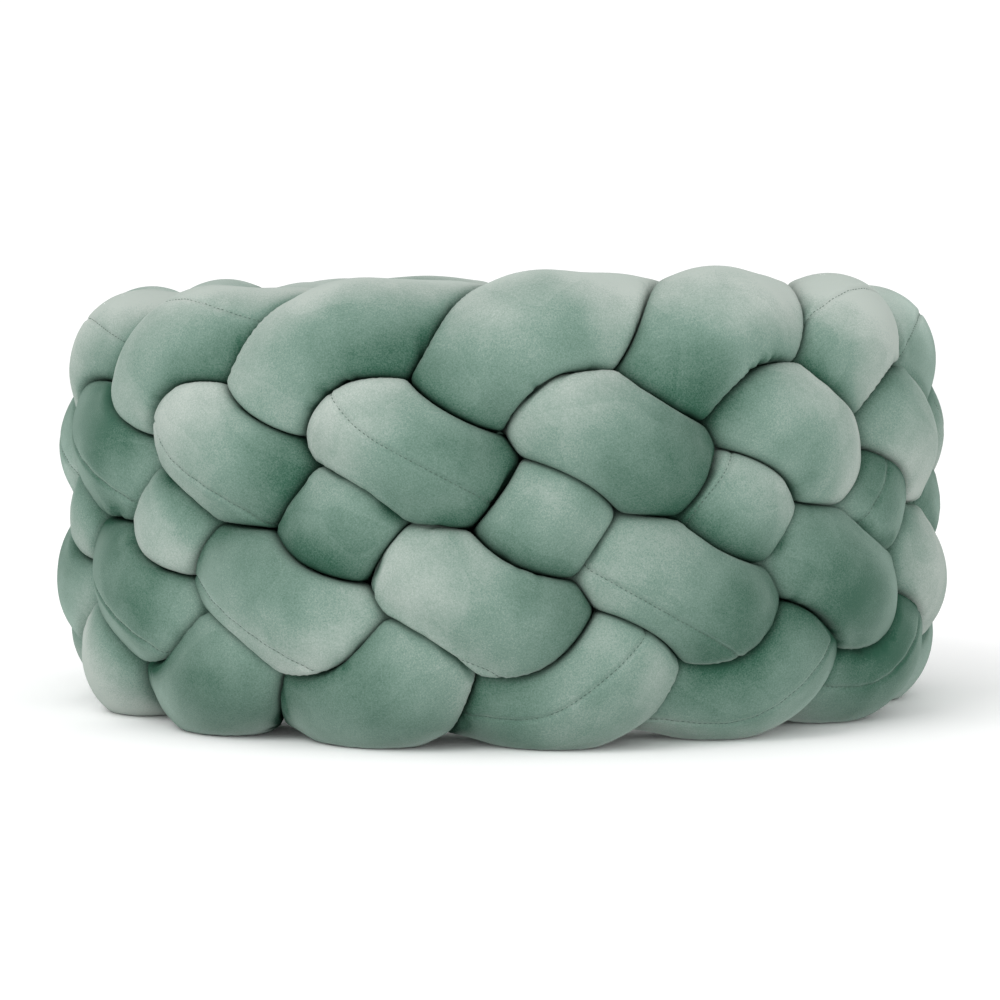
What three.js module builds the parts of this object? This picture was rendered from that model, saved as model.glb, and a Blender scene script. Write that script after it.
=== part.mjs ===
// Braided crib bumper: six stuffed velvet tubes plaited into one wide flat braid, which is curled
// into a ring and stands on its long edge, its two ends meeting at the back.
// Millimetres, +Z up. The origin is under the middle of the ring, on the surface it stands on, and
// the front of the ring faces -Y. Angles go round the ring from the front towards +X.

import * as THREE from "three";

// The ring and its tubes
const TUBE_COUNT = 6;
const TUBE_RADIUS = 36;
const TUBE_RADIUS_LEAST = 30;
const TUBE_RADIUS_MOST = 44;
const RING_RADIUS = 235;
const RING_CENTRE = { x: 0, y: -13.4 };
const BRAID_HEIGHT = 300;
const GAP = 0.5;

// The skin of one tube: points round a section, and the length from one section to the next
const SIDES = 10;
const STATION_STEP = 21;

// One tube's course through the braid: where it crosses the others, between two turns at the edges.
// angle: degrees round the ring from its first crossing. height: of its middle above the surface.
// lift: how far its middle stands outside (+) or inside (-) the ring's mean radius.
const PITCH = 26.2;
const COURSE_START = -27.4;
const COURSE = [
  { place: "first row, inside", angle: 0, height: 237, lift: -18 },
  { place: "second row, comes out", angle: 12, height: 193, lift: 25 },
  { place: "second row, goes in", angle: 17, height: 181, lift: 27 },
  { place: "third row, inside", angle: 32.2, height: 139, lift: -19 },
  { place: "fourth row, comes out", angle: 48.2, height: 97, lift: 26 },
  { place: "fourth row, goes in", angle: 54, height: 84, lift: 27 },
  { place: "fifth row, inside", angle: 67.5, height: 58, lift: -18 },
  { place: "down to the bottom edge", angle: 76.5, height: 45, lift: -8 },
  { place: "turn at the bottom edge", angle: 86, height: 35, lift: 6 },
  { place: "fifth row, outside", angle: 93.7, height: 49, lift: 18 },
  { place: "fourth row, inside", angle: 103.8, height: 92, lift: -23 },
  { place: "third row, comes out", angle: 109.3, height: 130, lift: 21 },
  { place: "third row, goes in", angle: 113, height: 144, lift: 21 },
  { place: "second row, inside", angle: 118.6, height: 187, lift: -22 },
  { place: "first row, comes out", angle: 125.2, height: 213, lift: 9 },
  { place: "first row, outside", angle: 132, height: 238, lift: 18 },
  { place: "turn at the top edge", angle: 138.2, height: 249, lift: 14 },
];
const COURSE_PERIOD = TUBE_COUNT * PITCH;

// The braid is a little lower at the ring's left and right, and its middle rides up at front right
const TOP_DIP = { depth: 7, towards: 12 };
const MIDDLE_RISE = { height: 10, towards: 46, reach: 60 };

// At its two ends the plaiting slows down and stops, and the tubes come side by side, one above the
// other, each with a round sewn cap
const END = { plaitedTo: 150, slowing: 4, sideBySideFrom: 173, tip: 179.7, lowest: 34, highest: 254, cap: 22 };

// The turns from a tube's tip to its full section, in degrees
const CAP_TURNS = [30, 60, 90];

// How finely a centre line is worked out, how softly it bends, and how softly a tube is pressed
const FINE_STEP = 0.5;
const BEND_WINDOW = 3.75;
const SIGHT_LENGTH = 2;
const OWN_REACH = 12;
const NEIGHBOUR_REACH = 120;
const PRESS_SOFTNESS = 4;
const SWELLING_ROUNDS = 14;
const SWELLING_PACE = 0.8;
const SETTLING_ROUNDS = 10;

const radians = THREE.MathUtils.degToRad;
const { clamp, lerp, smoothstep, euclideanModulo } = THREE.MathUtils;

function numbersTo(count) {
  return [...Array(count).keys()];
}

// A smooth curve through one column of the course table, with no overshoot, repeated round the ring
function courseCurve(column) {
  const rows = [-1, 0, 1].flatMap((turn) =>
    COURSE.map((row) => ({ angle: row.angle + turn * COURSE_PERIOD, value: row[column] })));
  const step = rows.slice(1).map((row, k) => row.angle - rows[k].angle);
  const rise = rows.slice(1).map((row, k) => (row.value - rows[k].value) / step[k]);
  const slope = rows.map((row, k) => {
    if (k === 0 || k === rows.length - 1 || rise[k - 1] * rise[k] <= 0) {
      return 0;
    }
    const before = 2 * step[k] + step[k - 1];
    const after = step[k] + 2 * step[k - 1];
    return (before + after) / (before / rise[k - 1] + after / rise[k]);
  });
  return (angle) => {
    const local = euclideanModulo(angle, COURSE_PERIOD);
    let k = 0;
    while (rows[k + 1].angle <= local) {
      k += 1;
    }
    const t = (local - rows[k].angle) / step[k];
    const start = (1 + 2 * t) * (1 - t) ** 2 * rows[k].value;
    const end = t * t * (3 - 2 * t) * rows[k + 1].value;
    const startSlope = t * (1 - t) ** 2 * step[k] * slope[k];
    const endSlope = t * t * (t - 1) * step[k] * slope[k + 1];
    return start + end + startSlope + endSlope;
  };
}

const courseHeight = courseCurve("height");
const courseLift = courseCurve("lift");

// How far the plaiting has got at an angle round the ring: it stops soon after END.plaitedTo
function plaitedAngle(angle) {
  const past = Math.max(Math.abs(angle) - END.plaitedTo, 0);
  const within = Math.min(Math.abs(angle), END.plaitedTo);
  return Math.sign(angle) * (within + END.slowing * Math.tanh(past / END.slowing));
}

// The level of each tube at an end of the braid: they keep the order in which they arrive there
function endLevels(side) {
  const last = plaitedAngle(side * END.tip);
  const arrival = (tube) => courseHeight(last - COURSE_START - tube * PITCH);
  const order = numbersTo(TUBE_COUNT).sort((a, b) => arrival(a) - arrival(b));
  const levelStep = (END.highest - END.lowest) / (TUBE_COUNT - 1);
  return order.map((_, tube) => END.lowest + order.indexOf(tube) * levelStep);
}

const LEVELS = { start: endLevels(-1), end: endLevels(1) };

// The middle of one tube at an angle round the ring, before its bends are softened
function coursePoint(tube, angle) {
  const local = plaitedAngle(angle) - COURSE_START - tube * PITCH;
  const level = (angle < 0 ? LEVELS.start : LEVELS.end)[tube];
  const sideBySide = smoothstep(Math.abs(angle), END.plaitedTo, END.sideBySideFrom);
  let height = lerp(courseHeight(local), level, sideBySide);
  const lift = lerp(courseLift(local), 0, sideBySide);

  const share = height / BRAID_HEIGHT;
  height -= TOP_DIP.depth * (1 - Math.cos(2 * radians(angle - TOP_DIP.towards))) * share;
  const offset = Math.min(Math.abs(angle - MIDDLE_RISE.towards) / MIDDLE_RISE.reach, 1);
  height += MIDDLE_RISE.height * 0.5 * (1 + Math.cos(Math.PI * offset)) * Math.sin(Math.PI * share);

  const radius = RING_RADIUS + lift;
  return new THREE.Vector3(radius * Math.sin(radians(angle)), -radius * Math.cos(radians(angle)), height);
}

// The softened centre line of one tube, as points close together
function centreLine(tube) {
  const spread = Math.round(BEND_WINDOW / FINE_STEP);
  const count = Math.round((2 * END.tip) / FINE_STEP);
  return numbersTo(count + 1).map((k) => {
    const sum = new THREE.Vector3();
    let weights = 0;
    for (let j = -spread; j <= spread; j += 1) {
      const weight = 1 + Math.cos((Math.PI * j) / (spread + 1));
      sum.addScaledVector(coursePoint(tube, -END.tip + (k + j) * FINE_STEP), weight);
      weights += weight;
    }
    return sum.divideScalar(weights);
  });
}

const LINES = numbersTo(TUBE_COUNT).map(centreLine);

// Running length along a line of points
function lengthsAlong(points) {
  const lengths = [0];
  for (let k = 1; k < points.length; k += 1) {
    lengths.push(lengths[k - 1] + points[k].distanceTo(points[k - 1]));
  }
  return lengths;
}

function pointAt(points, lengths, length) {
  let k = 0;
  while (k < lengths.length - 2 && lengths[k + 1] < length) {
    k += 1;
  }
  const t = (length - lengths[k]) / (lengths[k + 1] - lengths[k]);
  return points[k].clone().lerp(points[k + 1], t);
}

// Where the sections of a tube lie along it, and how full each is: round caps at both ends
function stationsAlong(total) {
  const cap = CAP_TURNS.map((turn) => radians(turn)).map((turn) => ({
    length: END.cap * (1 - Math.cos(turn)),
    fullness: Math.sin(turn),
  }));
  const middle = total - 2 * END.cap;
  const steps = Math.round(middle / STATION_STEP);
  const body = numbersTo(steps - 1).map((k) => ({
    length: END.cap + ((k + 1) * middle) / steps,
    fullness: 1,
  }));
  const far = cap.map((station) => ({ length: total - station.length, fullness: station.fullness }));
  return [...cap, ...body, ...far.reverse()];
}

// How far a ray from a tube's middle goes before it is nearer to another centre line, or to another
// stretch of its own
function pressedReach(middle, ray, tube) {
  let reach = Infinity;
  const towards = new THREE.Vector3();
  LINES.forEach((line, other) => {
    const gap = other === tube ? 0 : GAP;
    for (const point of line) {
      const distance = towards.subVectors(point, middle).length();
      const skipped = other === tube ? distance < OWN_REACH : distance > NEIGHBOUR_REACH;
      const along = 2 * (gap + towards.dot(ray));
      if (!skipped && along > 0) {
        reach = Math.min(reach, (distance * distance - gap * gap) / along);
      }
    }
  });
  return reach;
}

// The smaller of two lengths, with a soft change from one to the other
function softLeast(a, b) {
  const near = Math.max(PRESS_SOFTNESS - Math.abs(a - b), 0) / PRESS_SOFTNESS;
  return Math.min(a, b) - (near * near * PRESS_SOFTNESS) / 4;
}

function perimeter(reaches) {
  const turn = (2 * Math.PI) / SIDES;
  return reaches.reduce((sum, reach, k) => {
    const next = reaches[(k + 1) % SIDES];
    return sum + Math.sqrt(reach * reach + next * next - 2 * reach * next * Math.cos(turn));
  }, 0);
}

// The free radius of one section: where its neighbours press it flat the tube swells on its free
// sides, because the cloth round it keeps its length
function freeRadius(limits) {
  const loose = perimeter(Array(SIDES).fill(TUBE_RADIUS));
  let radius = TUBE_RADIUS;
  for (let round = 0; round < SWELLING_ROUNDS; round += 1) {
    const pressed = perimeter(limits.map((limit) => softLeast(radius, limit)));
    radius = clamp(radius * (loose / pressed) ** SWELLING_PACE, TUBE_RADIUS_LEAST, TUBE_RADIUS_MOST);
  }
  return radius;
}

// The sections of one tube: its middle, the directions of its points and how far out each one is
function tubeSections(tube) {
  const line = LINES[tube];
  const lengths = lengthsAlong(line);
  const total = lengths[lengths.length - 1];
  const sections = stationsAlong(total).map((station) => {
    const middle = pointAt(line, lengths, station.length);
    const behind = pointAt(line, lengths, Math.max(station.length - SIGHT_LENGTH, 0));
    const ahead = pointAt(line, lengths, Math.min(station.length + SIGHT_LENGTH, total));
    const along = ahead.sub(behind).normalize();
    const outward = new THREE.Vector3(middle.x, middle.y, 0).normalize();
    outward.addScaledVector(along, -outward.dot(along)).normalize();
    const across = new THREE.Vector3().crossVectors(along, outward);
    const rays = numbersTo(SIDES).map((k) => {
      const turn = (2 * Math.PI * k) / SIDES;
      return outward.clone().multiplyScalar(Math.cos(turn)).addScaledVector(across, Math.sin(turn));
    });
    const limits = rays.map((ray) => pressedReach(middle, ray, tube));
    return { middle, rays, limits, fullness: station.fullness, radius: freeRadius(limits) };
  });
  sections.forEach((section, k) => {
    const before = sections[Math.max(k - 1, 0)].radius;
    const after = sections[Math.min(k + 1, sections.length - 1)].radius;
    const radius = ((before + 2 * section.radius + after) / 4) * section.fullness;
    section.reaches = section.limits.map((limit) => softLeast(radius, limit));
  });
  return sections;
}

// A point of the skin: it stops flat on the surface that the ring stands on
function skinPoint(section, side) {
  const ray = section.rays[side];
  const toSurface = ray.z < 0 ? section.middle.z / -ray.z : Infinity;
  const point = section.middle.clone().addScaledVector(ray, Math.min(section.reaches[side], toSurface));
  point.z = Math.max(point.z, 0);
  return point;
}

function nearest(line, point) {
  return Math.sqrt(line.reduce((least, other) => Math.min(least, other.distanceToSquared(point)), Infinity));
}

// Flat faces between points of the skin can cut a corner into the next tube. This draws in the
// points of each such face until its middle, too, is nearer to its own centre line than to any other
function settle(sections, tube) {
  const drawnIn = sections.map((section) => section.reaches.map(() => 0));
  for (let k = 0; k + 1 < sections.length; k += 1) {
    for (let side = 0; side < SIDES; side += 1) {
      const next = (side + 1) % SIDES;
      const corners = [[k, side], [k, next], [k + 1, side], [k + 1, next]];
      const points = corners.map(([row, column]) => skinPoint(sections[row], column));
      for (const pair of [[0, 1], [0, 2], [1, 2], [0, 1, 2], [1, 2, 3]]) {
        const probe = pair.reduce((sum, corner) => sum.add(points[corner]), new THREE.Vector3());
        probe.divideScalar(pair.length);
        const own = nearest(LINES[tube], probe);
        const others = LINES.filter((_, other) => other !== tube).map((line) => nearest(line, probe));
        const excess = own + GAP - Math.min(...others);
        for (const corner of pair) {
          const [row, column] = corners[corner];
          drawnIn[row][column] = Math.max(drawnIn[row][column], excess / 2);
        }
      }
    }
  }
  sections.forEach((section, k) => {
    section.reaches = section.reaches.map((reach, side) => reach - drawnIn[k][side]);
  });
}

// One tube as a closed skin of rings of points between two end points
function tubeGeometry(sections, line) {
  const points = sections.flatMap((section) => section.rays.map((_, side) => skinPoint(section, side)));
  const firstTip = points.length;
  points.push(line[0], line[line.length - 1]);
  const positions = points.flatMap((point) => [point.x - RING_CENTRE.x, point.y - RING_CENTRE.y, point.z]);

  const faces = [];
  const last = (sections.length - 1) * SIDES;
  for (let side = 0; side < SIDES; side += 1) {
    const next = (side + 1) % SIDES;
    faces.push(firstTip, next, side);
    faces.push(firstTip + 1, last + side, last + next);
    for (let row = 0; row < last; row += SIDES) {
      faces.push(row + side, row + next, row + SIDES + side);
      faces.push(row + next, row + SIDES + next, row + SIDES + side);
    }
  }
  const geometry = new THREE.BufferGeometry();
  geometry.setAttribute("position", new THREE.Float32BufferAttribute(positions, 3));
  geometry.setIndex(faces);
  geometry.computeVertexNormals();
  return geometry;
}

// Sage green short-pile velvet
function velvet() {
  return new THREE.MeshStandardMaterial({ color: 0x8aa596, roughness: 0.9, metalness: 0 });
}

const bumper = new THREE.Group();
for (const tube of numbersTo(TUBE_COUNT)) {
  const sections = tubeSections(tube);
  for (let round = 0; round < SETTLING_ROUNDS; round += 1) {
    settle(sections, tube);
  }
  const mesh = new THREE.Mesh(tubeGeometry(sections, LINES[tube]), velvet());
  mesh.name = `tube_${tube + 1}`;
  bumper.add(mesh);
}

export default bumper;
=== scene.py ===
import math

import bpy
import numpy as np
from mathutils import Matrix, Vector, noise


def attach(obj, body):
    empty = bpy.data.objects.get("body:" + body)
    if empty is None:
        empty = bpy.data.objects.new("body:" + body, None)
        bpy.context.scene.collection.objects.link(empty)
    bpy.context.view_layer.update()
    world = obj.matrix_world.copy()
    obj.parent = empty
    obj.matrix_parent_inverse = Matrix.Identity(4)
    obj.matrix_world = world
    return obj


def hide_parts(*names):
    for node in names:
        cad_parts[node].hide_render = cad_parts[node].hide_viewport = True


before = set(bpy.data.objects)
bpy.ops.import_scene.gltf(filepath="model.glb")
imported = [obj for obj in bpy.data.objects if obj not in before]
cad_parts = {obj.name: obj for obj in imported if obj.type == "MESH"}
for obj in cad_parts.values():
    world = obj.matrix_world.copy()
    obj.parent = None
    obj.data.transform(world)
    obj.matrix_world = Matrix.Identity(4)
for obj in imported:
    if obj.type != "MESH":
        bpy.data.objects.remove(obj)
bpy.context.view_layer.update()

bpy.ops.object.select_all(action="DESELECT")

# Camera: level with the top of the braid and 2.2 m from the middle of the ring, through a long lens,
# tipped down a little.
CAMERA_PLACE = (-0.0017, -2.1866, 0.289)
CAMERA_TIP = math.radians(4.015)

camera_data = bpy.data.cameras.new("camera")
camera_data.lens = 114.5
camera_data.sensor_width = 36.0
camera = bpy.data.objects.new("camera", camera_data)
camera.location = CAMERA_PLACE
camera.rotation_euler = (math.pi / 2 - CAMERA_TIP, 0, 0)
bpy.context.scene.collection.objects.link(camera)
bpy.context.scene.camera = camera

# Floor and light: a white floor in a white room, a large soft light above the front left and a weak
# low one in front.
FLOOR_SIZE = 16
FLOOR_BELOW = 0.0004
ROOM_LIGHT = 1.08

bpy.ops.mesh.primitive_plane_add(size=FLOOR_SIZE, location=(0, 0, -FLOOR_BELOW))
floor = bpy.context.object
floor.name = "floor"
floor_paint = bpy.data.materials.new("white floor")
floor_paint.use_nodes = True
paint = floor_paint.node_tree.nodes["Principled BSDF"]
paint.inputs["Base Color"].default_value = (0.96, 0.96, 0.96, 1)
paint.inputs["Roughness"].default_value = 1.0
paint.inputs["Specular IOR Level"].default_value = 0.0
floor.data.materials.append(floor_paint)

room = bpy.data.worlds.new("white room")
room.use_nodes = True
room.node_tree.nodes["Background"].inputs["Color"].default_value = (1, 1, 1, 1)
room.node_tree.nodes["Background"].inputs["Strength"].default_value = ROOM_LIGHT
bpy.context.scene.world = room
bpy.context.scene.view_settings.view_transform = "Standard"

LIGHTS = (
    # name, place, tip and turn in degrees, width, height, power
    ("front left light", (-1.5, -1.9, 2.6), 44.8, -38.3, 1.8, 1.8, 39),
    ("low front light", (0.2, -2.3, 0.17), 89.0, 5.0, 2.4, 0.3, 19),
)
for name, spot, tip, turn, width, height, power in LIGHTS:
    lamp = bpy.data.lights.new(name, "AREA")
    lamp.shape = "RECTANGLE"
    lamp.size = width
    lamp.size_y = height
    lamp.energy = power
    light = bpy.data.objects.new(name, lamp)
    light.location = spot
    light.rotation_euler = (math.radians(tip), 0, math.radians(turn))
    bpy.context.scene.collection.objects.link(light)

# The six stuffed tubes: each is one long strip of velvet sewn into a tube, filled with fibre and
# closed round at both ends. They are plaited flat, over one and under one, and the braid is curled
# into a ring, so each tube is pressed flat where it meets its neighbours and full where it is free.
TUBE_COUNT = 6
TUBE_RADIUS = 0.0362
TUBE_RADIUS_LEAST = 0.030
TUBE_RADIUS_MOST = 0.0450
RING_RADIUS = 0.235
RING_CENTRE = np.array((0.0, 0.0134, 0.0))
BRAID_HEIGHT = 0.300
GAP = 0.0006

# One tube's course: degrees round the ring from its first crossing, height of its middle, and how
# far its middle stands outside (+) or inside (-) the ring's mean radius.
PITCH = 26.2
COURSE_START = -27.4
COURSE = (
    # place, angle, height, lift
    ("first row, inside", 0.0, 0.237, -0.018),
    ("second row, comes out", 12.0, 0.193, 0.025),
    ("second row, goes in", 17.0, 0.181, 0.027),
    ("third row, inside", 32.2, 0.139, -0.019),
    ("fourth row, comes out", 48.2, 0.097, 0.026),
    ("fourth row, goes in", 54.0, 0.084, 0.027),
    ("fifth row, inside", 67.5, 0.058, -0.018),
    ("down to the bottom edge", 76.5, 0.045, -0.004),
    ("turn at the bottom edge", 86.0, 0.035, 0.012),
    ("fifth row, outside", 93.7, 0.049, 0.021),
    ("fourth row, inside", 103.8, 0.092, -0.023),
    ("third row, comes out", 109.3, 0.130, 0.021),
    ("third row, goes in", 113.0, 0.144, 0.021),
    ("second row, inside", 118.6, 0.187, -0.022),
    ("first row, comes out", 125.2, 0.213, 0.009),
    ("first row, outside", 132.0, 0.238, 0.018),
    ("turn at the top edge", 138.2, 0.249, 0.014),
)
COURSE_PERIOD = TUBE_COUNT * PITCH
TOP_DIP = {"depth": 0.007, "towards": 12.0}
MIDDLE_RISE = {"height": 0.010, "towards": 46.0, "reach": 60.0}
BRAID_END = {"plaited_to": 150.0, "slowing": 4.0, "side_by_side_from": 173.0, "tip": 179.85,
             "lowest": 0.034, "highest": 0.254, "cap": 0.026, "uneven": 0.9,
             "sinks_from": 164.0, "sinks": 0.009}

COURSE_POINTS = 1439
STATION_COUNT = 800

# How a tube's skin meets its neighbours: how far off a neighbour is looked for, and how near on its
# own middle line the tube isn't its own neighbour.
NEIGHBOUR_REACH = 0.115
OWN_STRETCH = 0.012
FAR_OFF = 9.0
STATIONS_AT_A_TIME = 16
TINY = 1e-9
NEARLY_LEVEL = 1e-6

# The velvet is drawn out into the corner beside a neighbour, less so near the braid's two edges, and
# its lip is rounder where the tube lies over than where it goes under.
CORNER = {"drawn_out": 0.7, "reach": 0.008, "fades_below": (0.005, 0.05), "fades_above": (0.005, 0.04)}
LIP = {"mean": 0.0027, "rounder": 0.0013, "over": 0.012}

# A tube's girth is reached in small steps. Its filling is a little lumpy, and its ends are lightly
# gathered.
GIRTH_ROUNDS = 14
GIRTH_STEP = 0.8
FILLING = {"at": 0.036, "every": 4, "wide": 22, "small": 70, "small_share": 0.35, "height": 0.0007}
GATHERS = {"depth": 0.05, "count": 16}

# Where the strip's long seam runs, as degrees round the tube from its outward side, by the place on
# the course. The tube turns a little as it is plaited, so its seam wanders.
SEAM_COURSE = (
    # place, angle, degrees round
    ("first row, inside", 0.0, -8),
    ("second row, outside", 15.0, 4),
    ("third row, inside", 32.0, 12),
    ("fourth row, outside", 50.0, 30),
    ("fifth row, inside", 68.0, 46),
    ("down to the bottom edge", 80.0, 36),
    ("turn at the bottom edge", 93.0, -4),
    ("fourth row, inside", 104.0, -26),
    ("third row, outside", 112.0, -42),
    ("second row, inside", 120.0, -54),
    ("first row, outside", 132.0, -62),
    ("turn at the top edge", 141.0, -40),
)
SEAM_TURN = (
    # tube, degrees further round at the ring's left, and at its right
    ("tube 1", -4, -4),
    ("tube 2", 170, 170),
    ("tube 3", 150, 150),
    ("tube 4", -15, 150),
    ("tube 5", 0, 0),
    ("tube 6", 18, 18),
)
SEAM_TWIST = {"from": -50.0, "to": -22.0}

# The seam lies in a groove that is pulled in at every third stitch, and its stitches are uneven.
SEAM_GROOVE = {"depth": 0.0013, "half_width": 0.0017, "pulled_in": 0.25, "every": 3}
STITCH = {"pitch": 0.0034, "length": 0.0024, "width": 0.0005, "from_tip": 0.03, "sinks": 0.9,
          "shifts": 0.0006, "unevenness": (410, 7)}

# Small pleats beneath a tube that presses: how deep, how far they run out, how fine they are along
# and round the tube, and where they start and are full.
PLEAT = {"depth": 0.0110, "reach": 0.016, "along": 230, "round": 1.4, "patches_along": 28,
         "beneath": 0.008, "start": -0.05, "full": 0.25}

# How far a point is tucked in falls off with its distance from the neighbour, and the pleats add to it.
# It darkens the velvet's colour as painted shade.
TUCKED_IN = {"beneath": 0.007, "above": 0.0020, "above_share": 0.30, "pleat": 0.0024}


def course_curve(table, column):
    """A smooth curve through one column of a table, with no overshoot, repeated round the ring."""
    angles = np.array([row[1] for row in table])
    values = np.array([row[column] for row in table], dtype=float)
    angles = np.concatenate([angles + turn * COURSE_PERIOD for turn in (-1, 0, 1)])
    values = np.tile(values, 3)
    step = np.diff(angles)
    rise = np.diff(values) / step
    slope = np.zeros(len(angles))
    same_way = rise[:-1] * rise[1:] > 0
    before, after = 2 * step[1:] + step[:-1], step[1:] + 2 * step[:-1]
    with np.errstate(divide="ignore", invalid="ignore"):
        mean = (before + after) / (before / rise[:-1] + after / rise[1:])
    slope[1:-1][same_way] = mean[same_way]

    def at(angle):
        local = np.mod(angle, COURSE_PERIOD)
        k = np.searchsorted(angles, local, side="right") - 1
        t = (local - angles[k]) / step[k]
        return ((1 + 2 * t) * (1 - t) ** 2 * values[k] + t * t * (3 - 2 * t) * values[k + 1]
                + t * (1 - t) ** 2 * step[k] * slope[k] + t * t * (t - 1) * step[k] * slope[k + 1])

    return at


course_height = course_curve(COURSE, 2)
course_lift = course_curve(COURSE, 3)
seam_degrees = course_curve(SEAM_COURSE, 2)


def plaited_angle(angle):
    """How far the plaiting has got at an angle round the ring: it stops soon after plaited_to."""
    past = np.maximum(np.abs(angle) - BRAID_END["plaited_to"], 0)
    within = np.minimum(np.abs(angle), BRAID_END["plaited_to"])
    return np.sign(angle) * (within + BRAID_END["slowing"] * np.tanh(past / BRAID_END["slowing"]))


def end_levels(side):
    """The level of each tube at an end of the braid, in the order in which they arrive, and the
    angle of its tip: the tips that meet are a little to one side or the other."""
    last = plaited_angle(side * BRAID_END["tip"])
    arrival = [float(course_height(last - COURSE_START - tube * PITCH)) for tube in range(TUBE_COUNT)]
    place = np.argsort(np.argsort(arrival))
    level = BRAID_END["lowest"] + place * (BRAID_END["highest"] - BRAID_END["lowest"]) / (TUBE_COUNT - 1)
    return level, side * BRAID_END["tip"] + BRAID_END["uneven"] * (1 - 2 * (place % 2))


def smooth_step(x, low, high):
    """Rises smoothly from 0 at low to 1 at high."""
    t = np.clip((x - low) / (high - low), 0, 1)
    return t * t * (3 - 2 * t)


def soften(line, spread):
    """Softens a line of points that are close together, and keeps its two ends."""
    weights = np.hanning(2 * spread + 3)[1:-1]
    weights /= weights.sum()
    first = 2 * line[:1] - line[1:spread + 1][::-1]
    last = 2 * line[-1:] - line[-spread - 1:-1][::-1]
    padded = np.concatenate([first, line, last])
    return np.stack([np.convolve(padded[:, k], weights, "valid") for k in range(line.shape[1])], 1)


def centre_line(tube):
    """The middle line of one tube, from one end of the braid round the ring to the other."""
    first_level, first_tip = end_levels(-1)
    last_level, last_tip = end_levels(1)
    angle = np.linspace(first_tip[tube], last_tip[tube], COURSE_POINTS)
    local = plaited_angle(angle) - COURSE_START - tube * PITCH
    level = np.where(angle < 0, first_level[tube], last_level[tube])
    side_by_side = smooth_step(np.abs(angle), BRAID_END["plaited_to"], BRAID_END["side_by_side_from"])
    height = course_height(local) * (1 - side_by_side) + level * side_by_side
    lift = course_lift(local) * (1 - side_by_side)
    share = height / BRAID_HEIGHT
    dip = 1 - np.cos(np.radians(2 * (angle - TOP_DIP["towards"])))
    height = height - TOP_DIP["depth"] * dip * share
    offset = np.minimum(np.abs(angle - MIDDLE_RISE["towards"]) / MIDDLE_RISE["reach"], 1)
    rise = 0.5 * (1 + np.cos(np.pi * offset)) * np.sin(np.pi * share)
    height = height + MIDDLE_RISE["height"] * rise
    sinks = smooth_step(np.abs(angle), BRAID_END["sinks_from"], 180)
    height = height - BRAID_END["sinks"] * sinks * share
    radius, turn = RING_RADIUS + lift, np.radians(angle)
    line = np.stack([radius * np.sin(turn), -radius * np.cos(turn), height], 1)
    return soften(line, spread=15)


def evenly(line, count):
    """The same line with its points evenly spaced, and the running length of each."""
    lengths = np.concatenate([[0], np.cumsum(np.linalg.norm(np.diff(line, axis=0), axis=1))])
    at = np.linspace(0, lengths[-1], count)
    return np.stack([np.interp(at, lengths, line[:, k]) for k in range(3)], 1), at


def soft_least(a, b, softness):
    """The lesser of two values, rounded off where they are close."""
    near = np.maximum(softness - np.abs(a - b), 0) / softness
    return np.minimum(a, b) - near * near * softness / 4


def filled_out(radius, limits, softness, pull):
    """The skin's reach: a tube's own radius where it is free, drawn out into the corner beside each
    neighbour that it is pressed against."""
    room = np.maximum(limits - radius, 0)
    drawn_out = radius + pull * room * np.exp(-(room / CORNER["reach"]) ** 2)
    return soft_least(drawn_out, limits, softness)


def pressed_reach(middles, rays, tube, lines):
    """How far each ray goes before it is nearer to another middle line, or to another stretch of
    its own, and how far from the ring's axis that other place is."""
    reach = np.full(rays.shape[:2], FAR_OFF)
    other_radius = np.zeros(rays.shape[:2])
    for other, line in enumerate(lines):
        gap = 0.0 if other == tube else GAP
        for start in range(0, len(middles), STATIONS_AT_A_TIME):
            block = slice(start, start + STATIONS_AT_A_TIME)
            around = np.linalg.norm(line - middles[block].mean(0), axis=1) < NEIGHBOUR_REACH
            close = line[around]
            if not len(close):
                continue
            towards = close[None, :, :] - middles[block][:, None, :]
            square = (towards ** 2).sum(2)
            near = square > OWN_STRETCH ** 2 if other == tube else square > 0
            along = 2 * (gap + np.matmul(rays[block], towards.transpose(0, 2, 1)))
            seen = (along > TINY) & near[:, None, :]
            far = np.where(seen, (square[:, None, :] - gap * gap) / np.maximum(along, TINY), FAR_OFF)
            least = far.min(2)
            closer = least < reach[block]
            radius = np.hypot(close[:, 0], close[:, 1])[far.argmin(2)]
            other_radius[block] = np.where(closer, radius, other_radius[block])
            reach[block] = np.where(closer, least, reach[block])
    return reach, other_radius


def blurred(field, times):
    """A field over the tube's skin, softened along the tube and round it."""
    for _ in range(times):
        field = (np.roll(field, 1, 1) + 2 * field + np.roll(field, -1, 1)) / 4
        field[1:-1] = (field[:-2] + 2 * field[1:-1] + field[2:]) / 4
    return field


def spread_turns():
    """Turns round the tube from its seam: close together beside the seam, then even."""
    beside = np.radians((0, 1.1, 2.2, 3.3, 4.8, 7.2, 10.8))
    even = np.linspace(beside[-1], np.pi, 40)[1:]
    half = np.concatenate([beside, even])
    return np.concatenate([half, 2 * np.pi - half[1:-1][::-1]])


middle_lines = []
running_lengths = []
for tube in range(TUBE_COUNT):
    line, lengths = evenly(centre_line(tube), STATION_COUNT)
    middle_lines.append(line)
    running_lengths.append(lengths)
seam_turns = spread_turns()


def skin_noise(lengths, along, around, shift):
    """Smooth noise over a tube's skin, by the running length and the turn from the seam."""
    return np.array([[noise.noise(Vector((length * along, math.cos(t) * around,
                                          math.sin(t) * around + shift)))
                      for t in seam_turns] for length in lengths])


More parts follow.
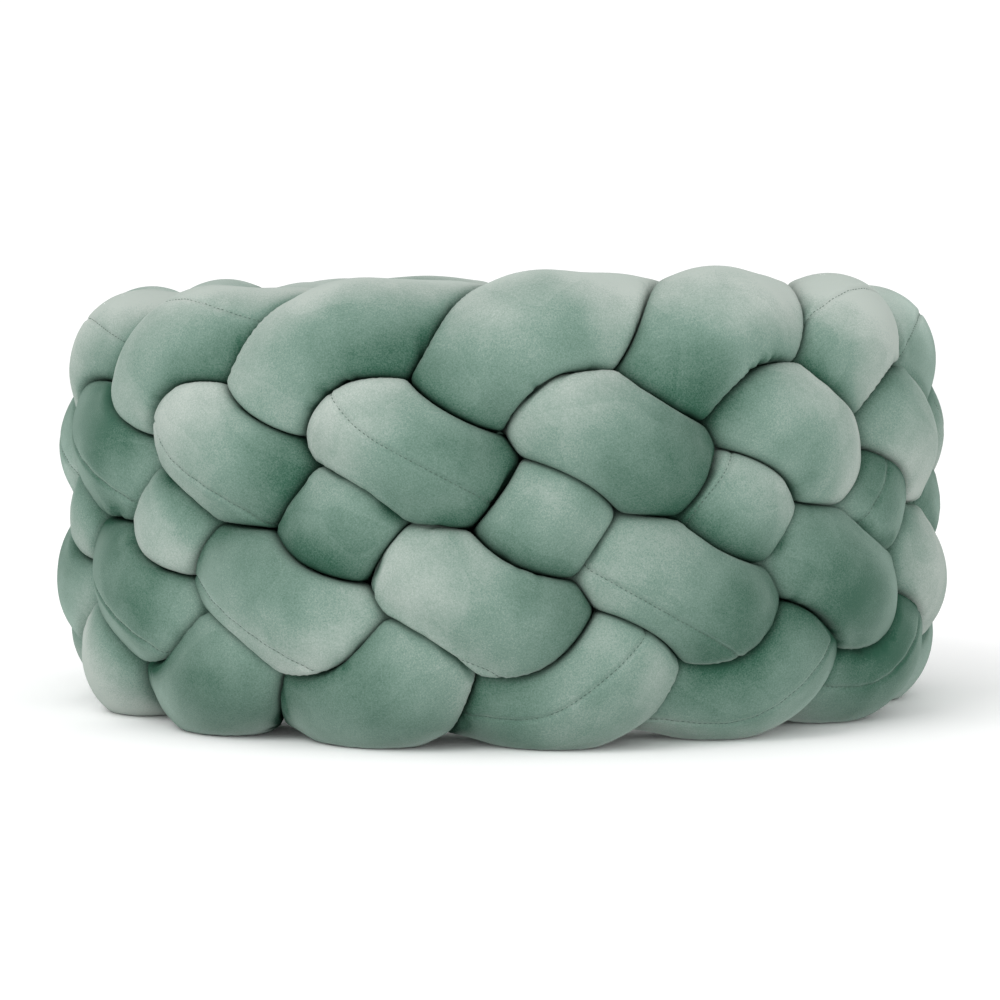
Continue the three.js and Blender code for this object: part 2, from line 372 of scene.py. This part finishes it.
def uneven_filling(middles, rays):
    """How lumpy the filling makes the skin, worked out at some stations and carried between them."""
    every = FILLING["every"]
    places = middles[::every, None, :] + FILLING["at"] * rays[::every]
    lumps = np.array([[noise.noise(Vector(point) * FILLING["wide"])
                       + FILLING["small_share"] * noise.noise(Vector(point) * FILLING["small"])
                       for point in row] for row in places])
    stations = np.arange(len(middles))
    return np.stack([np.interp(stations, stations[::every], column) for column in lumps.T], 1)


def tube_skin(tube):
    """The skin of one tube: its points, one row for each station and one column for each turn from
    the seam, and how far each point is tucked in against another tube."""
    middles = middle_lines[tube]
    lengths = running_lengths[tube]
    along = np.gradient(soften(middles, spread=7), axis=0)
    along /= np.linalg.norm(along, axis=1, keepdims=True)
    outward = middles * (1, 1, 0)
    outward = outward / np.linalg.norm(outward, axis=1, keepdims=True)
    outward = outward - (outward * along).sum(1, keepdims=True) * along
    outward /= np.linalg.norm(outward, axis=1, keepdims=True)
    across = np.cross(along, outward)
    angle = np.degrees(np.arctan2(middles[:, 0], -middles[:, 1]))
    place = plaited_angle(angle) - COURSE_START - tube * PITCH
    _, left, right = SEAM_TURN[tube]
    further = left + (right - left) * smooth_step(angle, SEAM_TWIST["from"], SEAM_TWIST["to"])
    seam = np.radians(seam_degrees(place) + further)
    turn = soften(seam[:, None], spread=12) + seam_turns[None, :]
    rays = (np.cos(turn)[:, :, None] * outward[:, None, :]
            + np.sin(turn)[:, :, None] * across[:, None, :])
    limits, other_radius = pressed_reach(middles, rays, tube, middle_lines)
    down = -rays[:, :, 2]
    floor_reach = middles[:, None, 2] / np.maximum(down, NEARLY_LEVEL)
    floor_reach = np.where(down > NEARLY_LEVEL, floor_reach, FAR_OFF)
    skin_height = middles[:, None, 2] - TUBE_RADIUS * down
    pull = CORNER["drawn_out"] * smooth_step(skin_height, *CORNER["fades_below"])
    pull = pull * smooth_step(BRAID_HEIGHT - skin_height, *CORNER["fades_above"])

    # A tube that lies over another keeps a round edge, and the one below runs straight under it.
    over = (np.hypot(middles[:, 0], middles[:, 1])[:, None] - other_radius) * np.cos(turn)
    softness = blurred(LIP["mean"] + LIP["rounder"] * np.tanh(over / LIP["over"]), times=3)

    # Small pleats run out from here and there beneath a tube that presses on it.
    beneath = 0.5 - 0.5 * np.tanh(over / PLEAT["beneath"])
    ripples = skin_noise(lengths, PLEAT["along"], PLEAT["round"], shift=9 * tube)
    patches = skin_noise(lengths, PLEAT["patches_along"], 1.0, shift=5 * tube)
    pressed = beneath * np.exp(-(np.maximum(limits - TUBE_RADIUS, 0) / PLEAT["reach"]) ** 2)
    patches = smooth_step(patches, PLEAT["start"], PLEAT["full"])
    pleats = PLEAT["depth"] * pressed * patches * np.maximum(ripples, 0)

    # The filling swells the tube until its girth is that of its strip.
    radius = np.full(len(middles), TUBE_RADIUS)
    for _ in range(GIRTH_ROUNDS):
        reach = np.minimum(filled_out(radius[:, None], limits, softness, pull), floor_reach)
        x, y = reach * np.cos(turn), reach * np.sin(turn)
        girth = np.hypot(np.roll(x, -1, 1) - x, np.roll(y, -1, 1) - y).sum(1)
        radius = radius * (2 * np.pi * TUBE_RADIUS / girth) ** GIRTH_STEP
        radius = np.clip(radius, TUBE_RADIUS_LEAST, TUBE_RADIUS_MOST)
    radius = soften(radius[:, None], spread=12)[:, 0]

    # Each end is closed round, with light gathers, and the seam lies in a groove.
    cap = BRAID_END["cap"]
    from_tip = np.minimum(lengths, lengths[-1] - lengths)
    fullness = np.sqrt(np.clip(1 - (1 - np.minimum(from_tip / cap, 1)) ** 2, 0, 1))
    gathers = GATHERS["depth"] * smooth_step(-from_tip, -cap, 0)[:, None]
    gathers = gathers * np.cos(GATHERS["count"] * seam_turns)
    lumps = FILLING["height"] * uneven_filling(middles, rays) * fullness[:, None]
    swelling = (radius * fullness)[:, None] * (1 + gathers) + lumps
    reach = blurred(filled_out(swelling, limits, softness, pull), times=1)
    round_from_seam = np.minimum(seam_turns, 2 * np.pi - seam_turns) * radius[:, None]
    pull_turns = 2 * np.pi * lengths / STITCH["pitch"] / SEAM_GROOVE["every"]
    stitch_pull = 1 - SEAM_GROOVE["pulled_in"] * np.cos(pull_turns)
    groove = SEAM_GROOVE["depth"] * np.exp(-(round_from_seam / SEAM_GROOVE["half_width"]) ** 2)
    reach = reach - groove * (stitch_pull * fullness)[:, None] - pleats * fullness[:, None]
    reach = np.minimum(reach, floor_reach)

    # Where it goes in under another tube, and at the lip of the tube above, its colour is darkened with
    # painted shade and its sheen fades; the pleats are darkened with painted shade too.
    room = np.maximum(limits - reach, 0)
    under = beneath * np.exp(-room / TUCKED_IN["beneath"])
    above = TUCKED_IN["above_share"] * (1 - beneath) * np.exp(-room / TUCKED_IN["above"])
    tucked_in = blurred(under + above, times=4) + pleats / TUCKED_IN["pleat"]
    return middles[:, None, :] + reach[:, :, None] * rays, tucked_in


def tube_mesh(name, grid, lengths):
    """A closed skin over the rows of points, with the strip's own map: length along, turn round."""
    rows, columns = grid.shape[0] - 2, grid.shape[1]
    points = np.concatenate([grid[1:-1].reshape(-1, 3), grid[:1, 0], grid[-1:, 0]]) + RING_CENTRE
    here = np.arange(rows * columns).reshape(rows, columns)
    beside = np.roll(here, -1, 1)
    quads = np.stack([here[:-1], beside[:-1], beside[1:], here[1:]], 2).reshape(-1, 4)
    first, last = rows * columns, rows * columns + 1
    faces = quads.tolist()
    faces += [(first, int(b), int(a)) for a, b in zip(here[0], beside[0])]
    faces += [(last, int(a), int(b)) for a, b in zip(here[-1], beside[-1])]
    mesh = bpy.data.meshes.new(name)
    mesh.from_pydata(points.tolist(), [], faces)
    mesh.update()
    mesh.shade_smooth()
    strip = mesh.uv_layers.new(name="strip")
    length = lengths[1:-1]
    width = np.append(seam_turns, 2 * np.pi) * TUBE_RADIUS
    corner_rows = np.stack([length[:-1], length[:-1], length[1:], length[1:]], 1)
    corner_columns = np.stack([width[:-1], width[1:], width[1:], width[:-1]], 1)
    corners = np.zeros((len(mesh.loops), 2))
    corners[:len(quads) * 4, 0] = np.repeat(corner_rows, columns, 0).reshape(-1)
    corners[:len(quads) * 4, 1] = np.tile(corner_columns, (rows - 1, 1)).reshape(-1)
    strip.data.foreach_set("uv", corners.reshape(-1))
    return mesh


# The velvet's pile lies one way along tubes 1, 2 and 6 and the other way along the rest. Its sheen is
# painted into its colour: pale where the pile lies away from the light and deep where one looks into it,
# by the tube's slope and by the side of the ring.
PILE_WAY = {"tube 1": 0.9, "tube 2": 0.9, "tube 3": -1.1,
            "tube 4": -1.3, "tube 5": -1.2, "tube 6": 0.9}
PALE_BY_SLOPE = 0.80
PALE_BY_SIDE = 0.24
PALE_CONTRAST = 2.2
SLOPE_MOST = 0.5
# Painted sheen at the tube's edges, faded where the tube is tucked in.
EDGE_PAINTED_SHEEN = 0.27
EDGE_FADES = 3
# Painted light from above: paler towards the top edge of the braid.
TOP_PAINTED_LIGHT = {"change": 0.45, "from": 0.235, "to": 0.292}
# Painted shade where a tube is tucked in and in its pleats.
TUCKED_IN_PAINTED_SHADE = 0.25
DEEP_FROM = 0.18

# Spots painted paler (change above 0) and deeper (change below 0): painted sheen and shade of the pile,
# spot by spot.
SHEEN_AND_SHADE_SPOTS = (
    # tube, degrees round the ring, height, how far it reaches, change
    (1, -43, 0.243, 0.040, -0.30),
    (1, 25, 0.097, 0.038, -0.32),
    (1, 60, 0.030, 0.045, -0.70),
    (2, -67, 0.043, 0.040, 0.26),
    (2, -30, 0.212, 0.040, -0.22),
    (2, -16, 0.244, 0.045, -0.36),
    (2, 46, 0.112, 0.040, -0.60),
    (3, -35, 0.042, 0.038, -0.35),
    (3, -17, 0.134, 0.030, -0.45),
    (3, 9, 0.243, 0.042, -0.58),
    (3, 39, 0.228, 0.040, 0.70),
    (3, 41, 0.176, 0.038, -0.80),
    (3, 77, 0.119, 0.045, 0.65),
    (4, -51, 0.080, 0.038, -0.60),
    (4, -19, 0.028, 0.045, 0.34),
    (4, -10, 0.055, 0.035, -0.42),
    (4, 1, 0.128, 0.036, 0.42),
    (4, 8, 0.157, 0.035, -0.45),
    (4, 22, 0.226, 0.040, -0.32),
    (4, 34, 0.252, 0.045, -0.42),
    (5, -62, 0.165, 0.045, -0.60),
    (5, -33, 0.086, 0.044, 0.48),
    (5, 14, 0.020, 0.038, 0.42),
    (5, 17, 0.062, 0.040, -0.50),
    (5, 31, 0.155, 0.045, -0.32),
    (6, -77, 0.245, 0.055, 0.16),
    (6, -30, 0.168, 0.045, -0.26),
    (6, -1, 0.062, 0.036, 0.34),
    (6, 30, 0.048, 0.038, -0.55),
    (6, 57, 0.145, 0.035, -0.28),
)

# How far from the ring's axis those places are.
SHEEN_AND_SHADE_SPOTS_RADIUS = 0.270


def paint_sheen_and_shade(mesh, grid, tucked_in, tube):
    """Stores how pale each point of the skin is, with the pile's sheen, light from above and shade where
    it is tucked in painted into it, how far it is tucked in, and how its pile lies.
    """
    way = PILE_WAY[f"tube {tube + 1}"]
    along = np.gradient(grid, axis=0)
    along /= np.maximum(np.linalg.norm(along, axis=2, keepdims=True), TINY)
    outward = grid * (1, 1, 0)
    outward /= np.linalg.norm(outward, axis=2, keepdims=True)
    slope = blurred(SLOPE_MOST * np.tanh((along * outward).sum(2) / SLOPE_MOST), times=14)
    facing = np.cross(along, np.roll(grid, -1, 1) - np.roll(grid, 1, 1))
    facing /= np.maximum(np.linalg.norm(facing, axis=2, keepdims=True), TINY)
    sideways = np.cross(along, outward)
    sideways /= np.maximum(np.linalg.norm(sideways, axis=2, keepdims=True), TINY)
    # Where the skin turns to the tube's edges: painted sheen there.
    edge = (1 - np.sqrt(np.maximum(1 - (facing * sideways).sum(2) ** 2, 0))) ** 2
    edge = blurred(edge, times=4) * np.maximum(1 - EDGE_FADES * tucked_in, 0)
    # Painted sheen of the pile, by the tube's slope and by the side of the ring.
    towards = PALE_BY_SLOPE * slope - PALE_BY_SIDE * outward[:, :, 0]
    pale = 0.5 + 0.5 * np.tanh(PALE_CONTRAST * way * towards)
    # Painted sheen at the tube's edges, and painted shade where it is tucked in and in the pleats.
    pale = pale + EDGE_PAINTED_SHEEN * edge - TUCKED_IN_PAINTED_SHADE * tucked_in
    # Painted light from above, paler towards the top edge.
    at_top = smooth_step(grid[:, :, 2], TOP_PAINTED_LIGHT["from"], TOP_PAINTED_LIGHT["to"])
    pale = pale + TOP_PAINTED_LIGHT["change"] * at_top
    # Painted sheen and shade, spot by spot.
    for spot_tube, degrees, height, reach, change in SHEEN_AND_SHADE_SPOTS:
        if spot_tube == tube + 1:
            turn = math.radians(degrees)
            spot = (SHEEN_AND_SHADE_SPOTS_RADIUS * math.sin(turn), -SHEEN_AND_SHADE_SPOTS_RADIUS * math.cos(turn), height)
            pale = pale + change * np.exp(-((grid - spot) ** 2).sum(2) / reach ** 2)

    # Below a certain depth the tone deepens ever more slowly.
    deep = DEEP_FROM * np.exp(np.minimum(pale / DEEP_FROM - 1, 0))
    pale = np.maximum(pale - DEEP_FROM, 0) + deep
    lie = along * np.sign(way)
    layers = (
        ("pale", "FLOAT", pale, 1),
        ("tucked_in", "FLOAT", tucked_in, 1),
        ("lie", "FLOAT_VECTOR", lie, 3),
    )
    for name, kind, field, size in layers:
        values = field.reshape(len(grid), -1, size)
        values = np.concatenate([values[1:-1].reshape(-1, size), values[:1, 0], values[-1:, 0]])
        layer = mesh.attributes.new(name, kind, "POINT")
        layer.data.foreach_set("value" if size == 1 else "vector", values.reshape(-1))


# The velvet's tones from deep to pale, the paleness being painted sheen on a deep green, and the
# patterns that vary them: scale, detail, roughness and how strongly each varies the tone.
VELVET_TONES = (
    (0.0, (0.024, 0.078, 0.050)),
    (0.5, (0.138, 0.210, 0.174)),
    (1.0, (0.340, 0.380, 0.350)),
)
WIDE_CLOUDS = {"scale": 14, "detail": 2, "rough": 0.5, "strength": 0.7}
SMALL_CLOUDS = {"scale": 55, "detail": 4, "rough": 0.6, "strength": 0.20}
GRAIN = {"scale": 1000, "detail": 3, "rough": 0.9, "strength": 0.88}
STREAKS = {"scale": 620, "detail": 3, "rough": 0.7, "strength": 0.14, "drawn_out": 0.35}
STROKES = {"scale": 13, "detail": 1.5, "rough": 0.5, "strength": 0.05, "steps": 4.0}
NAP = {"scale": 1300, "detail": 3, "rough": 0.8, "height": 0.0003, "strength": 0.35, "lean": 0.3}
SHEEN = {"weight": 0.31, "lost_tucked_in": 0.75}


def velvet_material():
    """Short-pile velvet, its sheen, light and shade painted into its colour: pale where the pile lies
    up, deep where it lies down.
    """
    material = bpy.data.materials.new("sage velvet")
    material.use_nodes = True
    nodes, links = material.node_tree.nodes, material.node_tree.links
    shader = nodes["Principled BSDF"]
    shader.inputs["Roughness"].default_value = 0.95
    shader.inputs["Specular IOR Level"].default_value = 0.05
    shader.inputs["Sheen Roughness"].default_value = 0.4
    shader.inputs["Sheen Tint"].default_value = (0.74, 0.90, 0.82, 1)
    place = nodes.new("ShaderNodeTexCoord")

    def cloud(pattern, where=place.outputs["Object"]):
        node = nodes.new("ShaderNodeTexNoise")
        node.inputs["Scale"].default_value = pattern["scale"]
        node.inputs["Detail"].default_value = pattern["detail"]
        node.inputs["Roughness"].default_value = pattern["rough"]
        links.new(where, node.inputs["Vector"])
        return node.outputs["Fac"]

    def worked(kind, a, b=None, c=None):
        node = nodes.new("ShaderNodeMath")
        node.operation = kind
        for socket, value in zip(node.inputs, (a, b, c)):
            if isinstance(value, (int, float)):
                socket.default_value = value
            elif value is not None:
                links.new(value, socket)
        return node.outputs["Value"]

    def varied(tone, pattern, field):
        """The tone made paler and deeper by a pattern, by half its strength each way."""
        strength = pattern["strength"]
        return worked("ADD", tone, worked("MULTIPLY_ADD", field, strength, -strength / 2))

    # The pile's sheen fades where a tube is tucked in.
    tucked_in = nodes.new("ShaderNodeAttribute")
    tucked_in.attribute_name = "tucked_in"
    sheen = worked("MULTIPLY_ADD", tucked_in.outputs["Fac"], -SHEEN["lost_tucked_in"], SHEEN["weight"])
    links.new(worked("MAXIMUM", sheen, 0.0), shader.inputs["Sheen Weight"])

    # The stored paleness carries the painted sheen, light and shade; random clouds and grain vary it.
    pale = nodes.new("ShaderNodeAttribute")
    pale.attribute_name = "pale"
    tone = varied(pale.outputs["Fac"], WIDE_CLOUDS, cloud(WIDE_CLOUDS))
    tone = varied(tone, SMALL_CLOUDS, cloud(SMALL_CLOUDS))
    tone = varied(tone, GRAIN, cloud(GRAIN))

    # Fine streaks lie along the strip, and a hand has left faint strokes with one crisp side.
    strip = nodes.new("ShaderNodeUVMap")
    strip.uv_map = "strip"
    along_strip = nodes.new("ShaderNodeMapping")
    along_strip.inputs["Scale"].default_value = (STREAKS["drawn_out"], 1.0, 1.0)
    links.new(strip.outputs["UV"], along_strip.inputs["Vector"])
    tone = varied(tone, STREAKS, cloud(STREAKS, along_strip.outputs["Vector"]))
    stroke = worked("FRACT", worked("MULTIPLY", cloud(STROKES), STROKES["steps"]))
    tone = varied(tone, STROKES, stroke)

    tones = nodes.new("ShaderNodeValToRGB")
    tones.color_ramp.interpolation = "LINEAR"
    tones.color_ramp.elements.new(0.5)
    for element, (position, color) in zip(tones.color_ramp.elements, VELVET_TONES):
        element.position = position
        element.color = (*color, 1)
    links.new(tone, tones.inputs["Fac"])
    links.new(tones.outputs["Color"], shader.inputs["Base Color"])

    # The pile is a fine nap that leans the way it lies.
    bump = nodes.new("ShaderNodeBump")
    bump.inputs["Strength"].default_value = NAP["strength"]
    bump.inputs["Distance"].default_value = NAP["height"]
    links.new(cloud(NAP), bump.inputs["Height"])
    lie = nodes.new("ShaderNodeAttribute")
    lie.attribute_name = "lie"
    lean = nodes.new("ShaderNodeVectorMath")
    lean.operation = "MULTIPLY_ADD"
    lean.inputs[1].default_value = (NAP["lean"], NAP["lean"], NAP["lean"])
    links.new(lie.outputs["Vector"], lean.inputs[0])
    links.new(bump.outputs["Normal"], lean.inputs[2])
    upright = nodes.new("ShaderNodeVectorMath")
    upright.operation = "NORMALIZE"
    links.new(lean.outputs["Vector"], upright.inputs[0])
    links.new(upright.outputs["Vector"], shader.inputs["Normal"])
    return material


velvet = velvet_material()
tube_skins = []
for tube in range(TUBE_COUNT):
    grid, tucked_in = tube_skin(tube)
    tube_skins.append(grid)
    mesh = tube_mesh(f"velvet_tube_{tube + 1}", grid, running_lengths[tube])
    paint_sheen_and_shade(mesh, grid, tucked_in, tube)
    piece = bpy.data.objects.new(f"velvet_tube_{tube + 1}", mesh)
    bpy.context.scene.collection.objects.link(piece)
    mesh.materials.append(velvet)
    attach(piece, "root")
    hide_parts(f"tube_{tube + 1}")

# The seam's stitches: each is a short run of thread, a little darker than the velvet, that lies in
# the seam's groove and goes down through a needle hole at both ends. Some are pulled in deeper.
THREAD_TWIST = 900
BEAD_RINGS = (
    # share of the stitch's length, share of its width, height
    (0.0, 0.0, -0.5),
    (0.25, 1.0, 0.4),
    (0.75, 1.0, 0.4),
    (1.0, 0.0, -0.5),
)
BEAD_POINT = 0.2
BEAD_SIDES = 4
BESIDE_SEAM = 3

stitch_thread = bpy.data.materials.new("sage thread")
stitch_thread.use_nodes = True
thread_shader = stitch_thread.node_tree.nodes["Principled BSDF"]
thread_shader.inputs["Roughness"].default_value = 0.8
thread_place = stitch_thread.node_tree.nodes.new("ShaderNodeTexCoord")
thread_twist = stitch_thread.node_tree.nodes.new("ShaderNodeTexNoise")
thread_twist.inputs["Scale"].default_value = THREAD_TWIST
thread_tones = stitch_thread.node_tree.nodes.new("ShaderNodeValToRGB")
thread_tones.color_ramp.elements[0].color = (0.028, 0.060, 0.045, 1)
thread_tones.color_ramp.elements[1].color = (0.080, 0.130, 0.102, 1)
stitch_thread.node_tree.links.new(thread_place.outputs["Object"], thread_twist.inputs["Vector"])
stitch_thread.node_tree.links.new(thread_twist.outputs["Fac"], thread_tones.inputs["Fac"])
stitch_thread.node_tree.links.new(thread_tones.outputs["Color"], thread_shader.inputs["Base Color"])


def stitches_along(seam_points, side, up):
    """A row of stitches: each is a low four-sided bead of thread, narrow at its two needle holes."""
    lengths = np.concatenate([[0], np.cumsum(np.linalg.norm(np.diff(seam_points, axis=0), axis=1))])
    starts = np.arange(STITCH["from_tip"], lengths[-1] - STITCH["from_tip"], STITCH["pitch"])
    one, other = STITCH["unevenness"]
    uneven = np.array([noise.noise(Vector((start * one, other * start, 0))) for start in starts])
    sunk = STITCH["sinks"] * np.maximum(uneven, 0)[:, None]
    starts = starts + STITCH["shifts"] * uneven

    def at(field, where):
        return np.stack([np.interp(where, lengths, field[:, k]) for k in range(3)], 1)

    points, faces = [], []
    for where, width, lift in BEAD_RINGS:
        spot = starts + where * STITCH["length"]
        middle = at(seam_points, spot) + at(up, spot) * STITCH["width"] * (lift - sunk)
        thickness = 0.5 * STITCH["width"] * (BEAD_POINT + (1 - BEAD_POINT) * width)
        for k in range(BEAD_SIDES):
            turn = 2 * math.pi * k / BEAD_SIDES
            sideways = at(side, spot) * thickness * math.cos(turn)
            points.append(middle + sideways + at(up, spot) * thickness * math.sin(turn))
    points = np.stack(points, 1)
    for stitch in range(len(starts)):
        first = stitch * len(BEAD_RINGS) * BEAD_SIDES
        last = first + (len(BEAD_RINGS) - 1) * BEAD_SIDES
        for ring in range(first, last, BEAD_SIDES):
            for k in range(BEAD_SIDES):
                a, b = ring + k, ring + (k + 1) % BEAD_SIDES
                faces.append((a, b, b + BEAD_SIDES, a + BEAD_SIDES))
        faces.append(tuple(range(first + BEAD_SIDES - 1, first - 1, -1)))
        faces.append(tuple(range(last, last + BEAD_SIDES)))
    return points.reshape(-1, 3), faces


for tube, grid in enumerate(tube_skins):
    seam_points = grid[:, 0] + RING_CENTRE
    side = grid[:, BESIDE_SEAM] - grid[:, -BESIDE_SEAM]
    side /= np.maximum(np.linalg.norm(side, axis=1, keepdims=True), TINY)
    up = grid[:, 0] - middle_lines[tube]
    up /= np.maximum(np.linalg.norm(up, axis=1, keepdims=True), TINY)
    points, faces = stitches_along(seam_points, side, up)
    mesh = bpy.data.meshes.new(f"seam_stitches_{tube + 1}")
    mesh.from_pydata(points.tolist(), [], faces)
    mesh.update()
    mesh.shade_smooth()
    mesh.materials.append(stitch_thread)
    stitches = bpy.data.objects.new(f"seam_stitches_{tube + 1}", mesh)
    bpy.context.scene.collection.objects.link(stitches)
    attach(stitches, "root")
